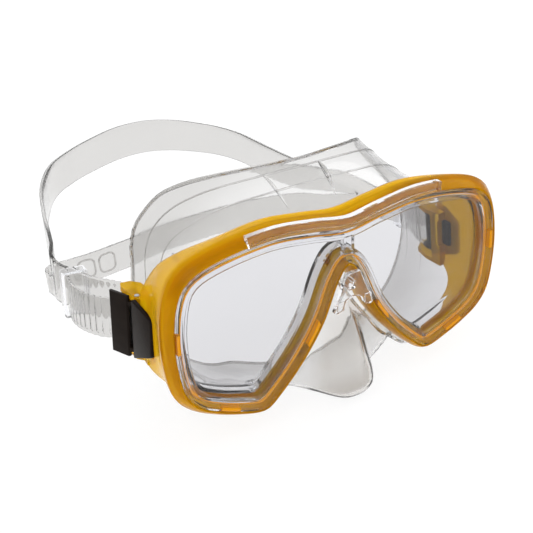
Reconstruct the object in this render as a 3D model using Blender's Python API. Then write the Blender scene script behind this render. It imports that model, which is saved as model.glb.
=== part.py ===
"""Single-lens snorkel mask: translucent frame, tempered glass lens, clear retainer ring,
silicone skirt with a nose pocket, swivelling strap buckles and a split strap.

Metres, +Z up. The mask looks along -Y and the strap trails towards +Y. +X is the wearer's left.
Everything is drawn from the centre of the lens window, and one empty carries it to its place
over the floor, so the part's origin is the middle of its footprint.
"""

import math

import bmesh
import bpy
import numpy as np
from mathutils import Vector

MM = 0.001

# ---- driving dimensions, in millimetres from the centre of the lens window ----

FLOOR_Z = -46.86  # lowest line of the skirt
REAR_Y = 223.87  # rearmost face of the strap
NOSE_Y = -9.35  # foremost face of the nose pocket
RIGHT_X, LEFT_X = -97.14, 86.04  # outer faces of the strap keeper and of the buckle

# Half of the lens window seen from the front, (x, z): over the brow, down the cheek, up the nose.
WINDOW_BROW = [(0, 32.7), (15, 35.1), (32.2, 37), (52.2, 35), (65.5, 30.5), (71.5, 21.5), (74.1, 4.2)]
WINDOW_CHEEK = [(72.7, -15.3), (67.8, -24.3), (59.9, -29.8), (50.6, -34.1), (40.8, -37)]
WINDOW_NOSE = [(34.5, -33.3), (22.6, -20.6), (12.7, -5.9), (5.6, 10.6), (0, 17.2)]

# Stack through the front of the mask, along Y.
RIM_FRONT = -1.4
LENS_FRONT, LENS_REAR = 1.7, 4.9
FLANGE_Y = 6.0
LIP_FRONT, LIP_REAR = 7.1, 9.1
LIP_REACH = -3.4
FRAME_WALL = 2.2
RETAINER_FRONT, RETAINER_REAR = -1.6, 1.4
RETAINER_INNER = -5.4
SEAT_GAP = 0.3
STRUT_WIDTH = 4.6

# Frame edges, half of each, (x, y, z).
WAIST_BROW = [(0, 8, 37.4), (15, 8.2, 39.4), (32, 8.6, 41), (52, 9.6, 37.8), (65.8, 13, 32),
              (73.2, 17, 22.3), (74.6, 19, 4.2)]
WAIST_CHEEK = [(75.4, 18, -15), (70.8, 14, -25.4), (62, 11, -32.4), (52.2, 10, -37.2), (42.2, 9.5, -40.4)]
EDGE_BROW = [(0, 10.5, 36.6), (15, 10.8, 38.5), (32, 11.6, 39.8), (50, 13.6, 36.4), (61.8, 20.5, 30.8),
             (69, 29, 21.8), (75, 35, 5)]
EDGE_CHEEK = [(76.6, 32, -18), (72, 22, -26), (62.8, 16, -32.2), (52.6, 13, -36.9), (42.2, 12, -40)]
NOSE_RIM_REACH = 2.6
CHEEK_RIM_REACH = 4.0

# Brow strip, in front of the rim, and the clip over the nose.
TRIM_INNER, TRIM_OUTER = 0.3, 4.4
TRIM_FRONT, TRIM_REAR = -2.6, 0.9
TRIM_HALF_LENGTH = 43.0
TRIM_GAP = 0.3
STRUT_BOTTOM, STRUT_TOP = 21.6, 29.0
CLIP_FRONT, CLIP_REAR = -4.6, -2.5
CLIP_FOOT, CLIP_FOOT_Z = 9.2, -2.4
CLIP_HEAD, CLIP_HEAD_Z = 3.2, 14.5
CLIP_ARCH, CLIP_ARCH_Z = 5.4, 4.0
CLIP_PLUG, CLIP_PLUG_LOW, CLIP_PLUG_HIGH = 1.6, 6.4, 9.6
CLIP_PLUG_DEPTH = 0.5

# Skirt.
SKIRT_WALL = 1.5
FACE_BROW = [(0, 32, 50), (18, 34, 50), (33, 40.5, 48), (42, 50, 43.6), (49.5, 60, 36.6), (58.6, 63.2, 26.6),
             (63.6, 61.5, 19.5), (67, 58.5, 11), (70, 57, -3)]
FACE_CHEEK = [(67.5, 55, -19), (59.5, 52, -33), (50, 50, -41.5), (42, 48, -45.2), (33, 46, -46)]
SKIRT_STAGES = (0.07, 0.14, 0.26, 0.38, 0.5, 0.64, 0.78, 0.9, 1.0)
SKIRT_LEAN, SKIRT_LEAN_FROM = 3.3, 30.0
MIDDLE_BROW = [(0, 21, 43.5), (18, 22, 43), (34, 26, 40.5), (47, 33, 34), (55.8, 38.5, 25.6), (61.8, 39, 14),
               (64.5, 38, -3)]
MIDDLE_CHEEK = [(64.5, 36, -17), (60, 33, -29), (52.5, 31, -37), (43, 30, -41.5), (35.5, 28.5, -43)]
# Each ring over the nose runs from the skirt's lower corner up to its own point on the ridge.
NOSE_RINGS = [
    [(24, 8, -30.5), (13.5, 7, -16.5), (4.6, 5.6, -6), (0, 4.6, -3)],
    [(23.5, 9, -35), (13.8, 7.6, -24.5), (4.6, 0.6, -13), (0, -0.8, -12.5)],
    [(24, 10.5, -37), (14.5, 8, -32), (5.6, -3, -23), (0, -4.4, -22.5)],
    [(24.2, 13, -40), (15, 7.6, -38.5), (7, -6.4, -34), (0, -7.9, -33.5)],
    [(23.5, 17, -42.6), (14.5, 8, -43), (7, -6, -40.4), (0, -8.6, -39.8)],
    [(22, 23, -44.8), (12.6, 10.5, -45), (5.6, 0.6, -44.6), (0, -1.4, -44.4)],
]
NOSE_LIP = [(22, 38, -46.1), (13, 34, -45.7), (6, 31, -45), (0, 30, -44.6)]

# Buckles: the swivel axis leans inwards at the top.
SWIVEL_X, SWIVEL_Y, SWIVEL_Z = 75.8, 37.0, -5.6
SWIVEL_LEAN_DEG = 6.0
SIDES = (("right", -1), ("left", 1))
SWIVEL_PIN_R = 1.0
RUNNING_GAP = 0.3
STRAP_WIDTH = 19.0
STRAP_THICK = 1.6
ROLLER_X, ROLLER_Y = 0.1, 5.9
ROLLER_R, ROLLER_BORE_R, ROLLER_PIN_R = 1.9, 1.0, 0.7
CHEEK_INNER, CHEEK_OUTER = 9.9, 11.5
RAIL_INNER, RAIL_OUTER = 11.8, 14.2
PLATE_HALF = 14.0
ROLLER_HALF = 9.6
# Plans round the swivel axis: x runs outwards from the head, y towards the back.
PLATE_PLAN = [(2.6, 1.6), (3.3, 1.2), (4.1, 1.35), (8.35, 8.7), (8.2, 9.3), (7.3, 9.7)]
EAR_PLAN = [(-2.2, -0.9), (-1.2, -1.8), (2.0, -1.5), (7.7, 9), (4.5, 9.6), (-2.4, 9.3), (-2.8, 5)]
LUG_PLAN = [(-6, -8), (-0.6, -8), (-0.7, -4), (1.7, -1.6), (3.3, 10), (2.6, 12.5), (-1.5, 12.5), (-5, 9.5),
            (-6.5, 2)]
SLOT_PLAN = [(-9, -2.4), (7, -2.4), (7, 14), (-9, 14)]
COVER_REAR, COVER_FRONT = -2.0, -15.6
COVER_TOP, COVER_BOTTOM = 13.9, -13.3
COVER_KNEES = (9.6, -5.4)
COVER_BASE_X, COVER_FLARE, COVER_THICK = -1.5, 0.206, 2.0
TAB_SIZE, TAB_Y, TAB_Z = (4.6, 12.4), -9.5, 3.6
STRAP_ENDS = {
    "right": {"inner": [(15.6, 44.3), (13.4, 41), (11.6, 36.8), (8.8, 32.4), (4.8, 27.8), (0.6, 23.4),
                        (-2.8, 19.6), (-4.2, 15.6), (-3.7, 11)],
              "tail": [(5.4, 9.2), (8.2, 11.3), (11.2, 13.6), (13.9, 17), (16.2, 21), (17.8, 26), (18.2, 31),
                       (17.6, 36), (16.7, 41.5)]},
    "left": {"inner": [(-4.3, 42), (-0.4, 34), (0.2, 26), (-1.2, 18), (-3.3, 11)],
             "tail": [(5.4, 9.2), (7.7, 13.4), (8.5, 19), (7.4, 25.5), (5.9, 31), (5.2, 36)]},
}
KEEPERS = {"right": ((14.7, 38.6), 9.0, 0.0), "left": ((3.25, 31), 9.4, 0.0)}
KEEPER_LENGTH, KEEPER_WALL = 5.0, 1.1

# Strap behind the head: centre x, y, z, lean of the top towards +X in degrees, width.
UPPER_BAND = [(-92.2, 101, 3.3, 5, 12.6), (-90.4, 112.5, 3.0, 4, 14.3), (-87, 136, 1.5, 3, 17.5),
              (-80.3, 164, 2.5, 0, 18), (-69.6, 188, 3.2, 0, 18.5), (-54.6, 203, 3.6, 0, 19),
              (-39, 213, 4, 0, 19.5), (-24, 220, 4.4, 0, 20), (-10.6, 223, 4.4, 0, 20),
              (2, 221.5, 4.2, 0, 20), (15, 213.5, 3.8, 0, 19.5), (26.5, 201, 3.2, 0, 18.5),
              (34.6, 188.5, 2.6, 0, 18), (39.6, 172, 2.4, 0, 17.8), (42.9, 143, 2.2, 0, 17.4),
              (46.5, 120, 2.2, -2, 16.6), (52.5, 104, 3.2, -4, 13.6), (59.3, 95.4, 3.2, -4, 12.6)]
LOWER_BAND = [(-95.9, 99.4, -9.8, 3, 11), (-96, 103.6, -10.4, 1, 12.2), (-92.6, 106.6, -10.6, 0, 12.8),
              (-85.4, 104.6, -9.9, 0, 13.4), (-73, 102.6, -9, 0, 14.5), (-58.4, 103.4, -8, 0, 14.5),
              (-30, 109, -8.8, 0, 15), (5, 112.5, -9.6, 0, 15), (36, 108.5, -10.2, 0, 14.6),
              (51, 102, -11.2, -2, 12.5), (59.6, 95.8, -9.9, -3, 11.4)]
SHOULDERS = {
    "right": [(-91.5, 81.6, -3.9, 6, 19), (-93.6, 85.6, -3.9, 6, 19.4), (-94.7, 90, -3.7, 5, 20.5),
              (-94.8, 94.4, -3.4, 4, 22)],
    "left": [(71.3, 79.3, -6.0, -6, 19), (69.6, 82.4, -5.4, -6, 19.4), (67.3, 86.2, -4.4, -5, 20.5),
             (64.3, 90, -3.4, -4, 22)],
}

RING_COUNTS = (10, 9, 9)
CORNERS = ((1, 1), (1, -1), (-1, -1), (-1, 1))


def clear_scene():
    for thing in list(bpy.data.objects):
        bpy.data.objects.remove(thing, do_unlink=True)


def material(name, colour, roughness, metallic=0.0, transmission=0.0):
    made = bpy.data.materials.new(name)
    made.use_nodes = True
    shader = made.node_tree.nodes["Principled BSDF"]
    shader.inputs["Base Color"].default_value = (*colour, 1.0)
    shader.inputs["Roughness"].default_value = roughness
    shader.inputs["Metallic"].default_value = metallic
    shader.inputs["Transmission Weight"].default_value = transmission
    return made


# ---- curves ----

def catmull_rom(points, steps):
    """Smooth line through 3-D points; steps pieces between each pair."""
    p = np.asarray(points, float)
    line = []
    for i in range(1, len(p) - 2):
        for t in np.arange(steps) / steps:
            line.append(0.5 * (2 * p[i] + (p[i + 1] - p[i - 1]) * t
                               + (2 * p[i - 1] - 5 * p[i] + 4 * p[i + 1] - p[i + 2]) * t ** 2
                               + (3 * p[i] - p[i - 1] - 3 * p[i + 1] + p[i + 2]) * t ** 3))
    line.append(p[-2])
    return np.array(line)


def resample(line, count):
    """count + 1 points at equal distances along a line."""
    line = np.asarray(line, float)
    run = np.concatenate([[0], np.cumsum(np.linalg.norm(np.diff(line, axis=0), axis=1))])
    at = np.linspace(0, run[-1], count + 1)
    return np.stack([np.interp(at, run, line[:, k]) for k in range(3)], axis=1)


def symmetric_line(points, steps=12):
    """Smooth half line whose first and last points lie on the mirror plane X = 0."""
    p = np.asarray(points, float)
    flip = np.array([-1, 1, 1])
    return catmull_rom(np.vstack([p[1] * flip, p, p[-2] * flip]), steps)


def split_resample(line, corners, counts=RING_COUNTS):
    """Points of a half line, with a fixed count between the two corners that every ring shares."""
    parts = [line[:corners[0] + 1], line[corners[0]:corners[1] + 1], line[corners[1]:]]
    rows = [resample(part, count)[:-1] for part, count in zip(parts, counts)]
    return np.vstack(rows + [line[-1:]])


def half_from_points(brow, cheek, nose, steps=12):
    line = symmetric_line(list(brow) + list(cheek) + list(nose), steps)
    corners = ((len(brow) - 1) * steps, (len(brow) + len(cheek) - 1) * steps)
    return split_resample(line, corners)


def half_beside_nose(brow, cheek, nose_y, steps=12):
    """A frame edge over brow and cheek that then follows the window up beside the nose."""
    nose = window_half(nose_y, CHEEK_RIM_REACH, NOSE_RIM_REACH)[-RING_COUNTS[2]:]
    line = half_from_points(brow, cheek, nose, steps)
    return np.vstack([line[:-RING_COUNTS[2]], nose])


def window_line(reach, nose_reach, steps=12):
    """The window's half outline moved outwards, by another distance beside the nose."""
    flat = [(x, 0, z) for x, z in WINDOW_BROW + WINDOW_CHEEK + WINDOW_NOSE]
    line = symmetric_line(flat, steps)
    along = np.gradient(line, axis=0)
    along /= np.linalg.norm(along, axis=1)[:, None]
    outwards = np.stack([-along[:, 2], 0 * along[:, 0], along[:, 0]], axis=1)
    corners = ((len(WINDOW_BROW) - 1) * steps, (len(WINDOW_BROW) + len(WINDOW_CHEEK) - 1) * steps)
    past = np.clip((np.arange(len(line)) - corners[1] + steps / 2) / steps, 0, 1)
    amount = reach + (nose_reach - reach) * past
    moved = line + outwards * amount[:, None]
    crossed = np.nonzero(moved[corners[1]:, 0] < 0)[0]
    if len(crossed):
        last = corners[1] + crossed[0]
        inside, outside = moved[last - 1], moved[last]
        share = inside[0] / (inside[0] - outside[0])
        moved = np.vstack([moved[:last], inside + (outside - inside) * share])
    moved[0, 0] = moved[-1, 0] = 0
    return moved, corners


def window_half(y, reach, nose_reach=None):
    line, corners = window_line(reach, reach if nose_reach is None else nose_reach)
    half = split_resample(line, corners)
    half[:, 1] = y
    return half


def inset(half, amount):
    """A half ring moved towards the inside, in the plane across Y."""
    along = np.gradient(half, axis=0)
    along[:, 1] = 0
    along[0] = (1, 0, 0)
    along[-1] = (-1, 0, 0)
    along /= np.linalg.norm(along, axis=1)[:, None]
    moved = half - np.stack([-along[:, 2], 0 * along[:, 0], along[:, 0]], axis=1) * amount
    return moved


def whole(half):
    """A half ring and its mirror image, as one closed ring."""
    return np.vstack([half, half[-2:0:-1] * (-1, 1, 1)])


# ---- meshes ----

def add_object(name, mesh, look=None, parent=None):
    made = bpy.data.objects.new(name, mesh)
    bpy.context.scene.collection.objects.link(made)
    if look is not None:
        mesh.materials.append(look)
    made.parent = parent
    return made


def finish_mesh(name, work, smooth_deg=35):
    bmesh.ops.recalc_face_normals(work, faces=work.faces)
    mesh = bpy.data.meshes.new(name)
    work.to_mesh(mesh)
    work.free()
    mesh.shade_smooth()
    mesh.set_sharp_from_angle(angle=math.radians(smooth_deg))
    return mesh


def loft_mesh(name, rings, ring_closed=True, rings_closed=False, capped=False):
    """Faces between successive rings of equal length, in millimetres."""
    work = bmesh.new()
    rows = [[work.verts.new(Vector(p) * MM) for p in ring] for ring in rings]
    pairs = list(zip(rows, rows[1:] + rows[:1])) if rings_closed else list(zip(rows, rows[1:]))
    for low, high in pairs:
        count = len(low)
        for i in range(count if ring_closed else count - 1):
            j = (i + 1) % count
            work.faces.new((low[i], low[j], high[j], high[i]))
    if capped and ring_closed:
        work.faces.new(rows[0])
        work.faces.new(rows[-1])
    if capped and not ring_closed:
        work.faces.new([row[0] for row in rows])
        work.faces.new([row[-1] for row in rows])
    return finish_mesh(name, work)


def prism_mesh(name, outline, low, high):
    """A plan outline, (x, y), raised from z = low to z = high."""
    rings = [[(x, y, z) for x, y in outline] for z in (low, high)]
    return loft_mesh(name, rings, capped=True)


def cylinder_mesh(name, radius, low, high, sides=20, centre=(0, 0)):
    turn = [2 * math.pi * k / sides for k in range(sides)]
    outline = [(centre[0] + radius * math.cos(a), centre[1] + radius * math.sin(a)) for a in turn]
    return prism_mesh(name, outline, low, high)


def tube_mesh(name, outer, bore, low, high, sides=20, centre=(0, 0)):
    turn = [2 * math.pi * k / sides for k in range(sides)]
    rings = [[(centre[0] + r * math.cos(a), centre[1] + r * math.sin(a), z) for a in turn]
             for r, z in ((outer, low), (outer, high), (bore, high), (bore, low))]
    return loft_mesh(name, rings, rings_closed=True)


def ribbon_mesh(name, path, ups, widths, thick):
    """A flat band along a path: its width lies along the up directions."""
    path, ups = np.asarray(path, float), np.asarray(ups, float)
    along = np.gradient(path, axis=0)
    rings = []
    for p, t, u, w in zip(path, along, ups, widths):
        u = u / np.linalg.norm(u)
        out = np.cross(t, u)
        out /= np.linalg.norm(out)
        rings.append([p + u * w / 2 * a + out * thick / 2 * b for a, b in CORNERS])
    return loft_mesh(name, rings, capped=True)


def boolean(target, cutter, operation):
    step = target.modifiers.new(cutter.name, "BOOLEAN")
    step.object = cutter
    step.operation = operation
    step.solver = "EXACT"
    cutter.hide_render = True
    cutter.display_type = "WIRE"


def mirrored(outline, side):
    return [(x * side, *rest) for x, *rest in outline]


# ---- the mask's own body ----

def frame_halves():
    waist = half_beside_nose(WAIST_BROW, WAIST_CHEEK, LIP_REAR - 1.6)
    edge = half_beside_nose(EDGE_BROW, EDGE_CHEEK, LIP_REAR)
    return [
        window_half(RIM_FRONT, 0),
        window_half(RIM_FRONT, 0.6),
        window_half(0.4, 2.1, 1.6),
        window_half(2.6, 3.3, 2.3),
        window_half(5.0, CHEEK_RIM_REACH, NOSE_RIM_REACH),
        waist,
        edge,
        inset(edge, FRAME_WALL),
        inset(waist, FRAME_WALL),
        window_half(LIP_REAR, 0.6),
        window_half(LIP_REAR, LIP_REACH),
        window_half(LIP_FRONT, LIP_REACH),
        window_half(LIP_FRONT, 0),
    ]


def make_frame(look, mask, swivels):
    rings = [whole(half) for half in frame_halves()]
    frame = add_object("frame", loft_mesh("frame", rings, rings_closed=True), look, mask)
    for word, side in SIDES:
        swivel = swivels[word]
        lug, slot = mirrored(LUG_PLAN, side), mirrored(SLOT_PLAN, side)
        steps = [
            (prism_mesh(word + "_lug", lug, -RAIL_OUTER, RAIL_OUTER), "UNION"),
            (prism_mesh(word + "_slot", slot, -RAIL_INNER, RAIL_INNER), "DIFFERENCE"),
            (cover_mesh(word + "_recess", side, RUNNING_GAP, 8.0), "DIFFERENCE"),
            (tab_mesh(word + "_tab_window", side, RUNNING_GAP, 12.0), "DIFFERENCE"),
            (cylinder_mesh(word + "_pin_hole", SWIVEL_PIN_R + RUNNING_GAP, -20, 20), "DIFFERENCE"),
        ]
        for mesh, operation in steps:
            boolean(frame, add_object(mesh.name, mesh, parent=swivel), operation)
    trim_space = trim_mesh("trim_space", TRIM_HALF_LENGTH + 0.4, TRIM_GAP)
    boolean(frame, add_object("cut_trim_space", trim_space, parent=mask), "DIFFERENCE")
    return frame


def make_lens(look, mask):
    rings = [whole(window_half(y, -SEAT_GAP)) for y in (LENS_FRONT, LENS_REAR)]
    return add_object("lens", loft_mesh("lens", rings, capped=True), look, mask)


def make_retainer(look, mask):
    """Clear front ring with a bevelled inner edge, and a strut over the bridge of the nose."""
    halves = [
        window_half(RETAINER_FRONT, -SEAT_GAP),
        window_half(RETAINER_REAR, -SEAT_GAP),
        window_half(RETAINER_REAR, RETAINER_INNER),
        window_half(RETAINER_FRONT + 1.2, RETAINER_INNER),
        window_half(RETAINER_FRONT, RETAINER_INNER + 1.6),
    ]
    mesh = loft_mesh("lens_retainer", [whole(half) for half in halves], rings_closed=True)
    ring = add_object("lens_retainer", mesh, look, mask)
    half = STRUT_WIDTH / 2
    section = [(-half, RETAINER_FRONT + 0.2), (half, RETAINER_FRONT + 0.2), (half, RETAINER_REAR - 0.1),
               (-half, RETAINER_REAR - 0.1)]
    strut = add_object("strut", prism_mesh("strut", section, STRUT_BOTTOM, STRUT_TOP), parent=mask)
    boolean(ring, strut, "UNION")
    return ring


def trim_mesh(name, half_length, grow):
    """The brow strip: a stretch of the rim on both sides of the middle."""
    sections = [
        window_line(TRIM_INNER - grow, 0)[0],
        window_line(TRIM_OUTER + grow, 0)[0],
        window_line(TRIM_OUTER + grow, 0)[0],
        window_line(TRIM_INNER - grow, 0)[0],
    ]
    depths = [TRIM_FRONT - 20 * grow, TRIM_FRONT - 20 * grow, TRIM_REAR + grow, TRIM_REAR + grow]
    rings = []
    for line, y in zip(sections, depths):
        part = line[line[:, 2] > 0]
        part = part[part[:, 0] <= half_length]
        part = resample(np.vstack([part[part[:, 2] > 25]]), 9)
        part[:, 1] = y
        rings.append(np.vstack([part[:0:-1] * (-1, 1, 1), part]))
    return loft_mesh(name, rings, ring_closed=False, rings_closed=True, capped=True)


def make_brow_trim(look, mask):
    return add_object("brow_trim", trim_mesh("brow_trim", TRIM_HALF_LENGTH, 0), look, mask)


def make_nose_clip(look, mask):
    """Clear saddle that snaps over the two legs of the frame beside the nose."""
    right_half = [(CLIP_ARCH * 0.7, CLIP_ARCH_Z - 1.3), (CLIP_ARCH, CLIP_FOOT_Z),
                  (CLIP_FOOT - 1, CLIP_FOOT_Z - 0.8), (CLIP_FOOT, CLIP_FOOT_Z + 0.4), (CLIP_HEAD, CLIP_HEAD_Z)]
    plate = [(0, CLIP_ARCH_Z)] + right_half + [(-x, z) for x, z in right_half[::-1]]
    rings = [[(x, y, z) for x, z in plate] for y in (CLIP_FRONT, CLIP_REAR)]
    clip = add_object("nose_clip", loft_mesh("nose_clip", rings, capped=True), look, mask)
    plug_plan = [(-CLIP_PLUG, CLIP_REAR - 0.4), (CLIP_PLUG, CLIP_REAR - 0.4), (CLIP_PLUG, CLIP_PLUG_DEPTH),
                 (-CLIP_PLUG, CLIP_PLUG_DEPTH)]
    plug = prism_mesh("clip_plug", plug_plan, CLIP_PLUG_LOW, CLIP_PLUG_HIGH)
    boolean(clip, add_object("clip_plug", plug, parent=mask), "UNION")
    return clip


def skirt_halves():
    """From the flange behind the lens, over wall and nose pocket, to the free edge on the face."""
    flange = [window_half(FLANGE_Y, -0.5), window_half(FLANGE_Y, -4.9)]
    wall = window_half(10.6, -4.9)
    middle = half_from_points(MIDDLE_BROW, MIDDLE_CHEEK, NOSE_LIP)
    face = half_from_points(FACE_BROW, FACE_CHEEK, NOSE_LIP)
    nose_starts = [window_half(11.4, 1.0), window_half(10.6, 4.7)]
    turn = RING_COUNTS[0] + RING_COUNTS[1]
    halves = flange + [wall]
    for k, t in enumerate(SKIRT_STAGES):
        ring = wall * (1 - t) * (1 - 2 * t) + middle * 4 * t * (1 - t) + face * t * (2 * t - 1)
        if k < len(nose_starts):
            ring[turn + 1:] = nose_starts[k][turn + 1:]
        else:
            route = (NOSE_RINGS + [NOSE_LIP])[k - len(nose_starts)]
            start = 2 * ring[turn] - route[0]
            end = np.array(route[-2]) * (-1, 1, 1)
            line = catmull_rom(np.vstack([start, ring[turn], route, end]), 8)
            line[-1, 0] = 0
            ring[turn:] = resample(line, RING_COUNTS[2])
        halves.append(ring)
    return halves


def leaned(ring, stage):
    """The soft wall's top leans towards the wearer's right, most at its free edge."""
    height = np.clip(ring[:, 2] / SKIRT_LEAN_FROM, 0, 1)
    moved = ring.copy()
    moved[:, 0] -= SKIRT_LEAN * stage * height ** 2 * (3 - 2 * height)
    return moved


def make_skirt(look, mask):
    halves = skirt_halves()
    stages = (0,) * (len(halves) - len(SKIRT_STAGES)) + SKIRT_STAGES
    rings = [leaned(whole(half), stage) for half, stage in zip(halves, stages)]
    mesh = loft_mesh("skirt", rings)
    skirt = add_object("skirt", mesh, look, mask)
    thicken(skirt, SKIRT_WALL)
    return skirt


# ---- buckles, drawn round the swivel axis ----

def cover_mesh(name, side, grow, thick):
    """Six-sided cover in front of the buckle, lying on the flared side of the frame."""
    high, low = COVER_KNEES
    shape = [(COVER_REAR + grow, COVER_TOP + grow), (COVER_REAR + grow, COVER_BOTTOM - grow),
             (COVER_FRONT + 1.2 - grow, low - 1.4 - grow), (COVER_FRONT - grow, low),
             (COVER_FRONT - grow, high), (COVER_FRONT + 1.2 - grow, high + 1.2 + grow)]
    rings = []
    for lift in (COVER_BASE_X - grow, COVER_BASE_X + thick):
        rings.append([(side * ((y - COVER_FRONT) * COVER_FLARE + lift), y, z) for y, z in shape])
    return loft_mesh(name, rings, capped=True)


def tab_mesh(name, side, grow, deep):
    half_y, half_z = TAB_SIZE[0] / 2 + grow, TAB_SIZE[1] / 2 + grow
    outer = COVER_BASE_X + (TAB_Y - COVER_FRONT) * COVER_FLARE + 0.6
    plan = [(side * (outer - deep), TAB_Y - half_y), (side * outer, TAB_Y - half_y),
            (side * outer, TAB_Y + half_y), (side * (outer - deep), TAB_Y + half_y)]
    return prism_mesh(name, plan, TAB_Z - half_z, TAB_Z + half_z)


def make_buckle(word, side, swivel, looks):
    """The cover, the swinging buckle with its roller and pins, and the strap that runs through it."""
    cover = add_object(word + "_anchor_cover", cover_mesh(word + "_anchor_cover", side, 0, COVER_THICK),
                       looks["black"], swivel)
    tab = tab_mesh(word + "_snap_tab", side, 0, 4.2)
    boolean(cover, add_object(tab.name, tab, parent=swivel), "UNION")

    plate = prism_mesh(word + "_buckle_body", mirrored(PLATE_PLAN, side), -PLATE_HALF, PLATE_HALF)
    body = add_object(plate.name, plate, looks["black"], swivel)
    ear_plan = mirrored(EAR_PLAN, side)
    centre = (side * ROLLER_X, ROLLER_Y)
    steps = [
        (prism_mesh(word + "_upper_ear", ear_plan, CHEEK_INNER, CHEEK_OUTER), "UNION"),
        (prism_mesh(word + "_lower_ear", ear_plan, -CHEEK_OUTER, -CHEEK_INNER), "UNION"),
        (cylinder_mesh(word + "_swivel_bore", SWIVEL_PIN_R + RUNNING_GAP, -12.5, 12.5, 16), "DIFFERENCE"),
        (cylinder_mesh(word + "_axle_bore", ROLLER_PIN_R + RUNNING_GAP, -12.5, 12.5, 16, centre),
         "DIFFERENCE"),
    ]
    for mesh, operation in steps:
        boolean(body, add_object(mesh.name, mesh, parent=swivel), operation)

    pin = cylinder_mesh(word + "_swivel_pin", SWIVEL_PIN_R, -RAIL_OUTER, RAIL_OUTER, 16)
    add_object(pin.name, pin, looks["steel"], swivel)
    axle = bpy.data.objects.new(word + "_roller_axis", None)
    bpy.context.scene.collection.objects.link(axle)
    axle.parent = swivel
    axle.location = (centre[0] * MM, centre[1] * MM, 0)
    roller = tube_mesh(word + "_strap_roller", ROLLER_R, ROLLER_BORE_R, -ROLLER_HALF, ROLLER_HALF, 16)
    add_object(roller.name, roller, looks["black"], axle)
    roller_pin = cylinder_mesh(word + "_roller_pin", ROLLER_PIN_R, -CHEEK_OUTER, CHEEK_OUTER, 12)
    add_object(roller_pin.name, roller_pin, looks["steel"], axle)

    path = strap_end_path(word)
    path[:, 0] *= side
    count = len(path)
    ribbon = ribbon_mesh(word + "_strap_end", path, [(0, 0, 1)] * count, [STRAP_WIDTH] * count, STRAP_THICK)
    add_object(ribbon.name, ribbon, looks["silicone"], swivel)
    add_object(word + "_strap_keeper", keeper_mesh(word, side), looks["clear"], swivel)


def strap_end_path(word):
    """In from the strap, round the roller and back out to the free end of the tail."""
    inner, tail = STRAP_ENDS[word]["inner"], STRAP_ENDS[word]["tail"]
    bend = ROLLER_R + RUNNING_GAP + STRAP_THICK / 2
    turn = [(ROLLER_X - bend * math.cos(a), ROLLER_Y - bend * math.sin(a), 0)
            for a in np.linspace(0, math.pi, 9)]
    inner = [(x, y, 0) for x, y in inner]
    tail = [(x, y, 0) for x, y in tail]
    first = catmull_rom([ends_beyond(inner)] + inner + turn[:2], 3)
    last = catmull_rom(turn[-2:] + tail + [ends_beyond(tail[::-1])], 3)
    return np.vstack([first, turn[1:-1], last])


def ends_beyond(points):
    """A point as far before the first one as the second lies after it."""
    return tuple(2 * np.array(points[0]) - points[1])


def keeper_mesh(word, side):
    """Clear loop that holds the tail against the strap."""
    place, width, turn_deg = KEEPERS[word]
    angle = math.radians(turn_deg)
    across = np.array([math.cos(angle), -math.sin(angle), 0])
    along = np.array([math.sin(angle), math.cos(angle), 0])
    up = np.array([0, 0, 1])
    rings = []
    for reach, step in ((KEEPER_WALL, -1), (KEEPER_WALL, 1), (0, 1), (0, -1)):
        half_x, half_z = width / 2 + reach, STRAP_WIDTH / 2 + RUNNING_GAP + 0.1 + reach
        centre = np.array([*place, 0]) + along * step * KEEPER_LENGTH / 2
        ring = [centre + across * half_x * a + up * half_z * b for a, b in CORNERS]
        rings.append([(p[0] * side, p[1], p[2]) for p in ring])
    return loft_mesh(word + "_strap_keeper", rings, rings_closed=True)


# ---- the strap behind the head ----

def band_rows(stations, across, steps=4):
    """Rows of points across a band. A station is its centre, the lean of its top to +X, its width."""
    rows = np.array(stations, float)
    rows = np.vstack([2 * rows[0] - rows[1], rows, 2 * rows[-1] - rows[-2]])
    places = catmull_rom(rows[:, :3], steps)
    shape = catmull_rom(rows[:, 2:], steps)
    made = []
    for place, (_, lean, width) in zip(places, shape):
        up = np.array([math.sin(math.radians(lean)), 0, math.cos(math.radians(lean))])
        made.append([place + up * width * k for k in np.linspace(-0.5, 0.5, across)])
    return made


def make_strap_back(look, mask):
    """One sheet: a shoulder at each end, split into an upper and a lower band between them."""
    right, left = (band_rows(SHOULDERS[word], 5, 2) for word in ("right", "left"))
    upper = [right[-1][2:]] + band_rows(UPPER_BAND, 3) + [left[-1][2:]]
    lower = [right[-1][:3]] + band_rows(LOWER_BAND, 3) + [left[-1][:3]]
    work = bmesh.new()
    for rows in (right, left, upper, lower):
        grid = [[work.verts.new(Vector(p) * MM) for p in row] for row in rows]
        for low, high in zip(grid, grid[1:]):
            for i in range(len(low) - 1):
                work.faces.new((low[i], low[i + 1], high[i + 1], high[i]))
    bmesh.ops.remove_doubles(work, verts=work.verts, dist=0.001 * MM)
    strap = add_object("strap_back", finish_mesh("strap_back", work), look, mask)
    thicken(strap, STRAP_THICK)
    return strap


def thicken(sheet, amount):
    wall = sheet.modifiers.new("wall", "SOLIDIFY")
    wall.thickness = amount * MM
    wall.offset = 0


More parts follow.
